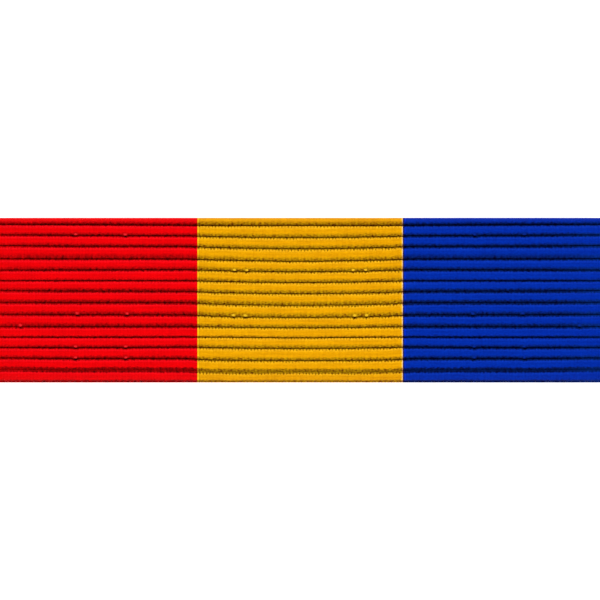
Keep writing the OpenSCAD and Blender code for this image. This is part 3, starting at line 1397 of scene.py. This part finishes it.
@dataclass
class PinBar:
    """The strip in the carrier, with hinge, pin wire and catch. Lengths are in millimetres.

    root is how much thicker the wire is at some distances from the knuckle, and tip_round how it
    ends, as distances past its end and shares of the tip's radius. solder_section goes round the
    solder, as shares of its radius outwards and down.
    """

    low: Vector
    high: Vector
    strip_t: float = 0.6
    strip_corner_r: float = 0.8
    pin_d: float = 0.8
    pin_z: float = 1.01
    pin_span: float = 24.0
    pin_past: float = 2.2
    root: Section = ((-0.25, 0.12), (0.0, 0.08), (0.3, 0.01), (0.6, 0.0))
    point_l: float = 2.6
    point_power: float = 1.25
    tip_d: float = 0.16
    tip_round: Section = ((0.03, 0.8), (0.05, 0.4))
    knuckle_d: float = 1.5
    knuckle_w: float = 2.0
    knuckle_groove: float = 0.04
    ear_t: float = 0.5
    ear_l: float = 2.6
    catch_t: float = 0.55
    catch_l: float = 2.2
    catch_gap: float = 0.06
    corner_r: float = 0.5
    lip_r: float = 0.12
    solder_r: float = 0.22
    solder_section: Section = (
        (-0.1, -0.06),
        (-0.1, 1.0),
        (0.0, 1.0),
        (0.04, 0.62),
        (0.14, 0.33),
        (0.33, 0.14),
        (0.62, 0.04),
        (1.0, 0.0),
        (1.0, -0.06),
    )
    solder_steps: int = 72
    solder_uneven: float = 0.25
    solder_waves: float = 0.1
    edge_r: float = 0.05
    seed: int = 3

    def build(self) -> bpy.types.Object:
        """Makes the pin bar as one soldered piece.

        Returns:
            The pin bar.
        """
        self.rng = np.random.default_rng(self.seed)
        self.metal = Metalwork()
        self.strip()
        self.hinge()
        self.wire()
        self.catch()
        return self.metal.build("pin_bar_metal", Brass(dulled=0.45, roughness=0.24), self.edge_r)

    def strip(self) -> None:
        """Adds the flat strip, its edges rounded."""
        half_l, half_h = self.high.x, self.high.y
        edge = self.strip_t / 3
        back = self.high.z - self.strip_t
        turns = [step * math.pi / 8 for step in range(5)]
        bends = [(edge * (1 - math.sin(turn)), edge * (1 - math.cos(turn))) for turn in turns]
        levels = [(inset, back + height) for inset, height in bends]
        levels += [(inset, self.high.z - height) for inset, height in bends[::-1]]
        rings = []
        for inset, z in levels:
            x, y, r = half_l - inset, half_h - inset, self.strip_corner_r - inset
            plan = outline([Corner(-x, -y, r), Corner(x, -y, r), Corner(x, y, r), Corner(-x, y, r)])
            rings.append(np.column_stack([plan, np.full(len(plan), z)]))
        self.metal.loft(rings)

    def hinge(self) -> None:
        """Adds the two ears and the knuckle between them."""
        x, foot, top = -self.pin_span / 2, self.ear_l / 2, self.high.z - self.strip_t / 2
        shape = outline([
            Corner(x - foot, 0, self.corner_r),
            Corner(x + foot, 0, self.corner_r),
            Corner(x + foot, top),
            Corner(x - foot, top),
        ])
        for inner in (-self.knuckle_w / 2 - self.ear_t, self.knuckle_w / 2):
            self.metal.prism(shape, Axis.Y, inner, inner + self.ear_t)
            middle = Vector((x, inner + self.ear_t / 2, self.high.z - self.strip_t))
            self.fillet(middle, self.ear_l / 2, self.ear_t / 2)
        radius, half_w = self.knuckle_d / 2, self.knuckle_w / 2
        waist = radius - self.knuckle_groove
        barrel = [(-half_w - 0.1, waist), (-half_w + 0.12, waist), (-half_w + 0.2, radius)]
        barrel += [(-length, size) for length, size in barrel[::-1]]
        self.metal.turned(Axis.Y, Vector((x, 0, self.pin_z)), barrel, 40)

    def wire(self) -> None:
        """Adds the pin wire with its ground point."""
        radius, tip = self.pin_d / 2, self.tip_d / 2
        start, end = self.knuckle_d / 2, self.pin_span + self.catch_l / 2 + self.pin_past
        profile = [(start + length, radius + more) for length, more in self.root]
        profile.append((end - self.point_l - 0.2, radius))
        for share in np.linspace(0, 1, 9):
            ground = (radius - tip) * share**self.point_power
            profile.append((end - self.point_l * (1 - share), radius - ground))
        profile += [(end + length, tip * share) for length, share in self.tip_round]
        self.metal.turned(Axis.X, Vector((-self.pin_span / 2, 0, self.pin_z)), profile, 24)

    def catch(self) -> None:
        """Adds the hook that the wire drops into."""
        seat = self.pin_d / 2 + self.catch_gap
        side = seat + self.catch_t
        lip, roof = self.pin_z + self.pin_d / 2, self.pin_z + 1.5 * self.pin_d
        top = self.high.z - self.strip_t / 2
        floor = self.pin_z - seat
        shape = outline([
            Corner(-side, 0, self.corner_r),
            Corner(side, 0, self.corner_r),
            Corner(side, top),
            Corner(-side, top),
            Corner(-side, roof),
            Corner(seat, roof, self.lip_r),
            Corner(seat, floor, seat * 0.98),
            Corner(-seat, floor, seat * 0.98),
            Corner(-seat, lip),
            Corner(-side, lip),
        ])
        x = self.pin_span / 2
        self.metal.prism(shape, Axis.X, x - self.catch_l / 2, x + self.catch_l / 2)
        middle = Vector((x, 0, self.high.z - self.strip_t))
        self.fillet(middle, self.catch_l / 2, side)

    def fillet(self, middle: Vector, half_x: float, half_y: float) -> None:
        """Runs solder round the foot of a part that stands on the strip's back.

        Args:
            middle: Middle of the foot, on the strip's back.
            half_x: Half of the foot's length along the bar.
            half_y: Half of its width.
        """
        angle = np.linspace(0, 2 * math.pi, self.solder_steps, endpoint=False)
        outwards = np.column_stack([np.cos(angle), np.sin(angle)])
        uneven, phases = self.rng.uniform(-1, 1), self.rng.uniform(0, 2 * math.pi, 4)
        waves = np.sin(angle[:, None] * np.array([2, 3, 5, 9]) + phases)
        spread = 1 + self.solder_uneven * uneven + self.solder_waves * waves.sum(axis=1)
        corners = np.sign(outwards) * (half_x, half_y) * np.clip(np.abs(outwards) * 3 - 0.6, 0, 1)
        rings = []
        for out, down in self.solder_section:
            away = np.maximum(out * self.solder_r * spread, 0.01)
            ring = corners + outwards * away[:, None]
            if out < 0:
                ring *= 0.9
            depth = down * self.solder_r * (spread if down > 0 else 1.0)
            z = np.broadcast_to(middle.z - depth, len(angle))
            rings.append(np.column_stack([ring + (middle.x, middle.y), z]))
        self.metal.loft(rings, solder=1.0, closed=True)


@dataclass
class Studio:
    """The camera, the lights and the floor. Lengths are in millimetres."""

    face_z: float
    picture_w: float = 34.765
    lens: float = 1500.0
    camera_y: float = 0.0112
    sensor: float = 36.0
    light_y: float = 300.0
    light_z: float = 205.0
    key_w: float = 170.0
    key_watts: float = 1.05
    fill_w: float = 200.0
    fill_watts: float = 1.13
    floor_half: float = 1500.0

    def build(self) -> None:
        """Sets the camera, the lights, the floor and the world."""
        self.camera()
        self.softbox("key", Vector((0, self.light_y, self.light_z)), self.key_w, self.key_watts)
        self.softbox("fill", Vector((0, -self.light_y, self.light_z)), self.fill_w, self.fill_watts)
        self.floor()
        self.world()
        view = bpy.context.scene.view_settings
        view.view_transform = "Standard"
        view.look = "None"

    def camera(self) -> None:
        """Puts the camera straight above the face, where the face fills the picture's width."""
        data = bpy.data.cameras.new("camera")
        data.lens = self.lens
        data.sensor_width = self.sensor
        away = self.lens / self.sensor * self.picture_w
        data.clip_start = 0.1 * away * MM
        data.clip_end = 10 * away * MM
        camera = bpy.data.objects.new("camera", data)
        camera.location = (0, self.camera_y * MM, (self.face_z + away) * MM)
        bpy.context.scene.collection.objects.link(camera)
        bpy.context.scene.camera = camera

    def softbox(self, name: str, place: Vector, width: float, watts: float) -> None:
        """Hangs a square soft light that faces the bar.

        Args:
            name: The light's name.
            place: Where its middle hangs, in millimetres.
            width: Its width, in millimetres.
            watts: Its power.
        """
        data = bpy.data.lights.new(name, "AREA")
        data.shape = "SQUARE"
        data.size = width * MM
        data.energy = watts
        light = bpy.data.objects.new(name, data)
        light.location = place * MM
        light.rotation_mode = "QUATERNION"
        light.rotation_quaternion = (-place).to_track_quat("-Z", "Y")
        bpy.context.scene.collection.objects.link(light)

    def floor(self) -> None:
        """Lays a pale glowing floor, which shows nothing of itself from below."""
        half = self.floor_half
        corners = np.array([(-half, -half, 0), (half, -half, 0), (half, half, 0), (-half, half, 0)])
        floor = add_piece("floor", corners, [(0, 1, 2, 3)])
        material = bpy.data.materials.new("pale_floor")
        shader = Shader(material)
        pale = {
            "Base Color": (0.8, 0.8, 0.8),
            "Roughness": 0.9,
            "Specular IOR Level": 0.1,
            "Emission Color": WHITE,
            "Emission Strength": self.seen_or_lit(shader, 0.7, 0.3),
        }
        paper = shader.node("ShaderNodeBsdfPrincipled", None, pale)
        clear = shader.node("ShaderNodeBsdfTransparent")
        behind = shader.node("ShaderNodeNewGeometry", None, None, "Backfacing")
        shader.close(shader.node("ShaderNodeMixShader", None, {0: behind, 1: paper, 2: clear}))
        floor.data.materials.append(material)
        floor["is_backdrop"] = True

    def world(self) -> None:
        """Makes the surroundings white to the eye and a soft grey to the bar."""
        world = bpy.data.worlds.new("studio")
        shader = Shader(world)
        white = {"Color": WHITE, "Strength": self.seen_or_lit(shader, 1.0, 0.16)}
        shader.close(shader.node("ShaderNodeBackground", None, white), "ShaderNodeOutputWorld")
        bpy.context.scene.world = world

    @staticmethod
    def seen_or_lit(shader: Shader, seen: float, lit: float) -> Wire:
        """Gives one strength to what is seen directly and another to the light on the bar."""
        direct = shader.node("ShaderNodeLightPath", None, None, "Is Camera Ray")
        return direct * (seen - lit) + lit


def in_millimetres(corners: tuple[Vector, Vector]) -> tuple[Vector, Vector]:
    """Turns two corners of a box into millimetres."""
    return corners[0] / MM, corners[1] / MM


def dress_ribbon() -> bpy.types.Object:
    """Builds the ribbon in its node's place, hides the node and attaches the ribbon to the body.

    Returns:
        The ribbon.
    """
    low, high = in_millimetres(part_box("ribbon"))
    sizes = Ribbon(low, high)
    piece = sizes.build()
    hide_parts("ribbon")
    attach(piece, BODY)
    return piece


def dress_metal() -> list[bpy.types.Object]:
    """Builds the brass pieces in their nodes' places.

    Returns:
        The carrier and the pin bar.
    """
    pieces = []
    for node, sizes in (("carrier", Carrier), ("pin_bar", PinBar)):
        piece = sizes(*in_millimetres(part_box(node))).build()
        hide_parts(node)
        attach(piece, BODY)
        pieces.append(piece)
    return pieces


def main() -> None:
    """Builds and dresses every piece round the frame, and the studio."""
    logging.basicConfig(level=logging.INFO, format="%(message)s")
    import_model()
    frame_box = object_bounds()
    _, top = in_millimetres(frame_box)
    Studio(face_z=top.z).build()
    for piece in (dress_ribbon(), *dress_metal()):
        log.info("%s: %d faces", piece.name, len(piece.data.polygons))


if __name__ == "__main__":
    main()
